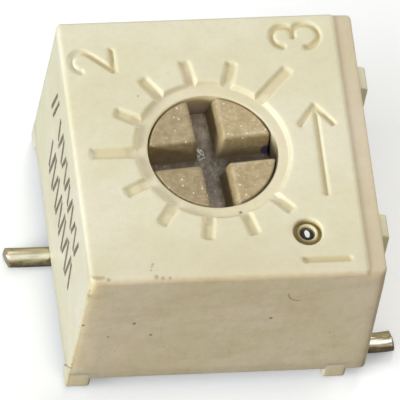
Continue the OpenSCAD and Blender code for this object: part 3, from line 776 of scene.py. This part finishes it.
    # feet
    def foot(x0, x1, y0, y1, rads):
        cols = [(s, k / (4 if s % 2 == 0 else 6)) for s in range(8) for k in range(4 if s % 2 == 0 else 6)]
        rings = []
        for z, e in ((0.70, 0.012), (0.62, 0.0), (0.50, 0.0), (0.30, 0.0), (0.18, 0.003), (0.15, 0.010), (0.130, 0.024), (0.121, 0.042), (0.12, 0.06)):
            pts = rrect(x0, x1, y0, y1, rads, (e, e, e, e), cols)[0]
            rings.append([(p[0], p[1], z) for p in pts])
        sh.rings(rings)
    foot(-3.331, -2.78, -3.307, -2.83, (0.08, 0.08, 0.046, 0.07))
    foot(2.42, 2.94, -3.307, -2.83, (0.08, 0.08, 0.07, 0.07))
    foot(-3.331, -2.78, 2.80, 3.288, (0.08, 0.141, 0.08, 0.08))
    foot(2.42, 2.94, 2.80, 3.288, (0.08,) * 4)
    # the stop that stands in the round cavity
    ring = []
    for z in (2.0, 4.05):
        a = [math.radians(t) for t in range(-30, 31, 5)]
        ring.append([(AX + 2.13 * math.cos(t), AY + 2.13 * math.sin(t), z) for t in a] + [(AX + 2.7 * math.cos(t), AY + 2.7 * math.sin(t), z) for t in a[::-1]])
    sh.rings(ring)
    return build("housing_shell", sh.v, sh.f, MAT_HOUSING, "housing", ["housing"], sharp=50)


# ---------------------------------------------------------------- rotor
def make_rotor():
    REST = math.radians(4.3)
    FACE, SF, R = 4.547, 3.827, 1.407
    sh = Shells()

    def land(w, r, rc, ro):
        """Outline of the quarter that lies in x > w, y > w inside radius r, corner radii rc at the middle and ro outside."""
        pts = []
        # outer corner on the x side: round between the slot wall y = w and the rim
        cx = math.sqrt((r - ro) ** 2 - (w + ro) ** 2)
        c1 = (cx, w + ro)
        a1 = math.atan2(c1[1], c1[0])
        for k in range(7):
            t = -math.pi / 2 + (a1 + math.pi / 2) * k / 6
            pts.append((c1[0] + ro * math.cos(t), c1[1] + ro * math.sin(t)))
        for k in range(1, 48):
            t = a1 + (math.pi / 2 - 2 * a1) * k / 48
            pts.append((r * math.cos(t), r * math.sin(t)))
        for p in pts[:7][::-1]:
            pts.append((p[1], p[0]))
        for k in range(1, 8):
            y = c1[0] + (w + rc - c1[0]) * k / 8
            pts.append((w, y))
        for k in range(9):
            t = math.pi + (math.pi / 2) * k / 8
            pts.append((w + rc + rc * math.cos(t), w + rc + rc * math.sin(t)))
        for k in range(1, 8):
            x = w + rc + (c1[0] - w - rc) * k / 8
            pts.append((x, w))
        return pts

    W, ER = 0.290, 0.10                                   # half width of the slot, rounding of its top edges
    levels = [(3.70, 0.10, 0, 0.16), (SF - 0.01, 0.12, 0, 0.15), (SF + 0.01, 0.150, 0, 0.14), (SF + 0.035, 0.178, 0, 0.12), (SF + 0.075, 0.197, 0, 0.11), (SF + 0.13, 0.208, 0, 0.10)]
    for k in range(1, 7):
        f = k / 6
        z = SF + 0.13 + (FACE - ER - SF - 0.13) * f
        levels.append((z, 0.208 + (W - 0.208) * f ** 1.15, 0, 0.12 - 0.035 * f))
    for a in (15, 30, 45, 60, 75, 90):
        t = math.radians(a)
        levels.append((FACE - ER + ER * math.sin(t), W, ER * (1 - math.cos(t)), 0.085))
    for quarter in range(4):
        turn = REST + quarter * math.pi / 2
        c, s = math.cos(turn), math.sin(turn)

        def place(p, z):
            return (AX + p[0] * c - p[1] * s, AY + p[0] * s + p[1] * c, z)
        rings = []
        for z, w, e, rc in levels:
            rings.append([place(p, z) for p in land(w + e, R - e * 0.5, rc, 0.045)])
        top = land(W + ER, R - ER * 0.5, 0.085, 0.045)
        mid = (sum(p[0] for p in top) / len(top), sum(p[1] for p in top) / len(top))
        for k in (0.97, 0.9, 0.75, 0.5, 0.25):
            rings.append([place((mid[0] + (p[0] - mid[0]) * k, mid[1] + (p[1] - mid[1]) * k), FACE + 0.0) for p in top])
        sh.rings(rings)
    # barrel, flange and the hollow underneath
    n = 128
    sh.lathe([(0.0005, SF), (0.5, SF), (1.0, SF), (1.35, SF), (1.422, SF - 0.002), (1.428, SF - 0.012), (1.428, 3.07), (1.45, 3.05), (2.03, 3.05), (2.05, 3.03),
              (2.05, 2.57), (2.03, 2.55), (0.30, 2.55), (0.28, 2.57), (0.27, 2.83), (0.25, 2.85), (0.0005, 2.85)], AX, AY, n)
    # stop lug
    ring = []
    mid = math.pi + REST
    a = [mid + math.radians(t) for t in np.linspace(-14, 14, 9)]
    for z, e in ((2.58, 0.02), (2.60, 0.0), (3.00, 0.0), (3.02, 0.02)):
        ring.append([(AX + 1.9 * math.cos(t), AY + 1.9 * math.sin(t), z) for t in a] + [(AX + (2.38 - e) * math.cos(t), AY + (2.38 - e) * math.sin(t), z) for t in a[::-1]])
    sh.rings(ring)
    # pips that hold the wiper
    for y in (-0.45, 0.45):
        px, py = AX + 0.45 * math.cos(REST) - y * math.sin(REST), AY + 0.45 * math.sin(REST) + y * math.cos(REST)
        sh.lathe([(0.12, 2.60), (0.12, 2.44), (0.10, 2.415), (0.07, 2.41)], px, py, 24)
    return build("rotor_body", sh.v, sh.f, MAT_ROTOR, "rotor", ["rotor"], sharp=48)


# ---------------------------------------------------------------- leads
def make_lead(name, node, y, sign, reach, seed, lift=0.0, shear=(0.0, 0.0), swell=0.0):
    """A round tinned wire: up into the resin at one end, sheared at the other."""
    R0, BR, SX = 0.22, 0.45, 2.45
    path = [((SX, z), (0, -1), 0.21) for z in (1.38, 1.2, 1.0, 0.85, 0.75)]
    for k in range(1, 13):
        t = math.radians(90 * k / 12)
        path.append(((SX + BR - BR * math.cos(t), R0 + BR - BR * math.sin(t)), (math.sin(t), -math.cos(t)), 0.21))
    x = SX + BR
    nst = 26
    for k in range(1, nst + 1):
        f = k / nst
        xx = x + (reach - 0.035 - x) * f
        g = max(0.0, (xx - 3.45) / (reach - 3.45))
        path.append(((xx, R0 + lift * g * g), (1, lift * 2 * g / (reach - 3.45)), 0.21 + 0.01 * min(1, f * 3)))
    zl = R0 + lift
    d = Vector((1, 2 * lift / (reach - 3.45))).normalized()
    n = 48
    rings = []

    def cut(px, u, w):
        """How far the shears took the tip back: shear[0] at the front underside, shear[1] at the rear upper side."""
        k = (u * 0.86 * sign + w * 0.5) / 0.22
        near = min(1.0, max(0.0, (px - reach + 0.30) / 0.30)) ** 2
        return near * (shear[0] * max(0.0, 0.25 - k) / 1.25 + shear[1] * max(0.0, k + 0.2) / 1.2)

    for (px, pz), t, r in path:
        tt = Vector(t).normalized()
        ring = []
        r *= 1 + swell * min(1.0, max(0.0, (px - 3.3) / (reach - 3.5)))
        for i in range(n):
            a = 2 * math.pi * i / n
            h = mnoise.noise(Vector((px * 2.1 + seed, math.cos(a) * 0.9, math.sin(a) * 0.9 + seed)))
            rr = r * (1 - 0.028 * max(0.0, h)) if px > 2.95 else r
            u, w = rr * math.cos(a), rr * math.sin(a)
            ring.append((px - tt[1] * w - cut(px, u, w), u, pz + tt[0] * w))
        rings.append(ring)
    # sheared end: a small turned-over lip, then a slightly uneven face
    for back_, rr, dx in ((0.035, 0.214, 0.018), (0.0, 0.197, 0.030), (0.0, 0.165, 0.034), (0.0, 0.09, 0.031), (0.0, 0.02, 0.029)):
        rr *= 1 + swell
        ring = []
        for i in range(n):
            a = 2 * math.pi * i / n
            u, w = rr * math.cos(a), rr * math.sin(a)
            tip = 0.008 * mnoise.noise(Vector((u * 9 + seed, w * 9, seed))) if rr < 0.2 else 0
            px = reach - 0.035 + dx + min(0, tip - 0.004) - w * d[1] - cut(reach, u, w)
            ring.append((px, u, zl + w * d[0] + 0.0))
        rings.append(ring)
    out = [[(sign * min(p[0], reach + 0.014), y + sign * p[1], max(p[2], 0.0)) for p in r] for r in rings]
    sh = Shells()
    sh.rings(out)
    return build(name, sh.v, sh.f, MAT_TIN, "housing", [node], sharp=60)


# ---------------------------------------------------------------- small pieces
def make_bead():
    sh = Shells()
    vx, vy = 1.645, -2.226
    prof = [(0.168, 4.2), (0.168, 4.519)]
    for r in (0.166, 0.15, 0.13, 0.11, 0.09, 0.07, 0.05, 0.03, 0.001):
        prof.append((r, 4.545 - 0.75 + math.sqrt(0.75 ** 2 - r * r)))
    sh.lathe(prof, vx, vy, 48)
    return build("vent_bead", sh.v, sh.f, MAT_BEAD, "housing", ["vent_seal"], sharp=70)


def make_potting():
    """Resin that closes the underside, drawn up the walls and round the leads as it set."""
    n = 97
    g = np.linspace(-2.85, 2.85, n)
    X, Y = np.meshgrid(g, g)
    edge = np.minimum(2.85 - np.abs(X), 2.85 - np.abs(Y))
    Z = 0.74 - 0.07 * np.exp(-edge / 0.16)
    for px, py in ((2.45, -2.54), (2.45, 2.54), (-2.45, 0.0)):
        Z -= 0.05 * np.exp(-np.maximum(0, np.hypot(X - px, Y - py) - 0.21) / 0.10)
    Z += 0.012 * np.sin(1.7 * X + 0.6) * np.sin(1.3 * Y + 1.1)
    V = [(float(X[j, i]), float(Y[j, i]), float(Z[j, i])) for j in range(n) for i in range(n)]
    F = [(j * n + i, j * n + i + 1, (j + 1) * n + i + 1, (j + 1) * n + i) for j in range(n - 1) for i in range(n - 1)]
    rim = [i for i in range(n)] + [j * n + n - 1 for j in range(1, n)] + [(n - 1) * n + i for i in range(n - 2, -1, -1)] + [j * n for j in range(n - 2, 0, -1)]
    k = len(V)
    V += [(V[i][0], V[i][1], 1.375) for i in rim]
    m_ = len(rim)
    F += [(rim[a], rim[(a + 1) % m_], k + (a + 1) % m_, k + a) for a in range(m_)]
    F.append(tuple(range(k, k + m_)))
    sh = Shells()
    sh.add(V, F)
    return build("potting_fill", sh.v, sh.f, MAT_POTTING, "housing", ["potting"], sharp=50)


def make_print():
    """Two lines of plain ink strokes on the left wall."""
    sh = Shells()
    X0, X1 = -3.297, -3.3065
    rng = np.random.default_rng(7)

    def stroke(pts, w):
        """A flat ribbon through (y, z) points."""
        pts = np.array(pts, float)
        L, Rr = [], []
        for i, p in enumerate(pts):
            a, b = pts[max(0, i - 1)], pts[min(len(pts) - 1, i + 1)]
            d = b - a
            d /= np.hypot(*d)
            nrm = np.array([-d[1], d[0]])
            ww = w * (0.5 + 0.10 * rng.uniform(-1, 1))
            L.append(p + nrm * ww)
            Rr.append(p - nrm * ww)
        ring = L + Rr[::-1]
        slope = lambda z: -0.030 * (4.56 - z) / 4.1
        sh.rings([[(X0 + slope(q[1]), q[0], q[1]) for q in ring], [(X1 + slope(q[1]), q[0], q[1]) for q in ring]])
    # one short group of bars, then two rows of plain slanting bars
    for y, z, h, lean in [(2.12, 3.36, 0.42, 0.10), (1.88, 3.40, 0.44, 0.10)]:
        stroke([(y + lean, z - h), (y + lean * 0.3, z - h * 0.3), (y - lean * 0.4, z + h * 0.4), (y - lean, z + h)], 0.085)
    for row, (y0, y1, z0, z1, h) in enumerate([(1.50, -1.78, 2.16, 2.36, 0.50), (1.30, -1.78, 3.46, 3.50, 0.36)]):
        count = 13 if row == 0 else 12
        for k in range(count):
            f = k / (count - 1)
            y, z = y0 + (y1 - y0) * f, z0 + (z1 - z0) * f
            lean = 0.075 if k % 2 else -0.075
            hh = h * (1.0 if k % 3 else 0.8) * (1 + 0.04 * rng.uniform(-1, 1))
            stroke([(y + lean, z - hh), (y + lean * 0.35, z - hh * 0.35), (y - lean * 0.35, z + hh * 0.35), (y - lean, z + hh)], 0.105)
    return build("side_print", sh.v, sh.f, MAT_INK, "housing", (), sharp=40, weighted=False)


make_housing()
make_rotor()
make_lead("lead_wire_1", "lead_1", -2.54, 1, 4.125, 3.1, 0.09, (0.02, 0.07), 0.05)
make_lead("lead_wire_3", "lead_3", 2.54, 1, 4.125, 8.7, 0.07, (0.05, 0.02), 0.03)
make_lead("lead_wire_2", "lead_2", 0.0, -1, 4.325, 5.3, 0.02, (0.11, 0.01), 0.0)
make_bead()
make_potting()
make_print()

for node, mat in (("seal_ring", MAT_RUBBER), ("wiper_spring", MAT_SPRING), ("substrate", MAT_CERAMIC), ("resistive_track", MAT_CERMET),
                  ("collector_track", MAT_FILM), ("end_pad_1", MAT_FILM), ("end_pad_3", MAT_FILM), ("solder_joint_1", MAT_SOLDER),
                  ("solder_joint_2", MAT_SOLDER), ("solder_joint_3", MAT_SOLDER)):
    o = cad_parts[node]
    o.data.materials.clear()
    o.data.materials.append(mat)

# ---------------------------------------------------------------- floor
g = G("floor_paper")
fcol = g.mix(g.rng(g.noise(0.05, 3, 0.5), 0.3, 0.7), (0.93, 0.93, 0.925), (0.95, 0.95, 0.945))
floor_mat = g.out(Base_Color=fcol, Roughness=0.85, Specular_IOR_Level=0.2, Emission_Color=(0.9, 1.0, 1.15, 1.0), Emission_Strength=0.20)
me = bpy.data.meshes.new("floor")
n = 64
fv = [(0.9 * math.cos(2 * math.pi * i / n), 0.9 * math.sin(2 * math.pi * i / n), 0.0) for i in range(n)]
me.from_pydata(fv, [], [tuple(range(n))])
me.materials.append(floor_mat)
floor = bpy.data.objects.new("floor", me)
S.collection.objects.link(floor)
# the floor shows shadows, but throws no light back up at the object
floor.visible_diffuse = False
floor.visible_glossy = False
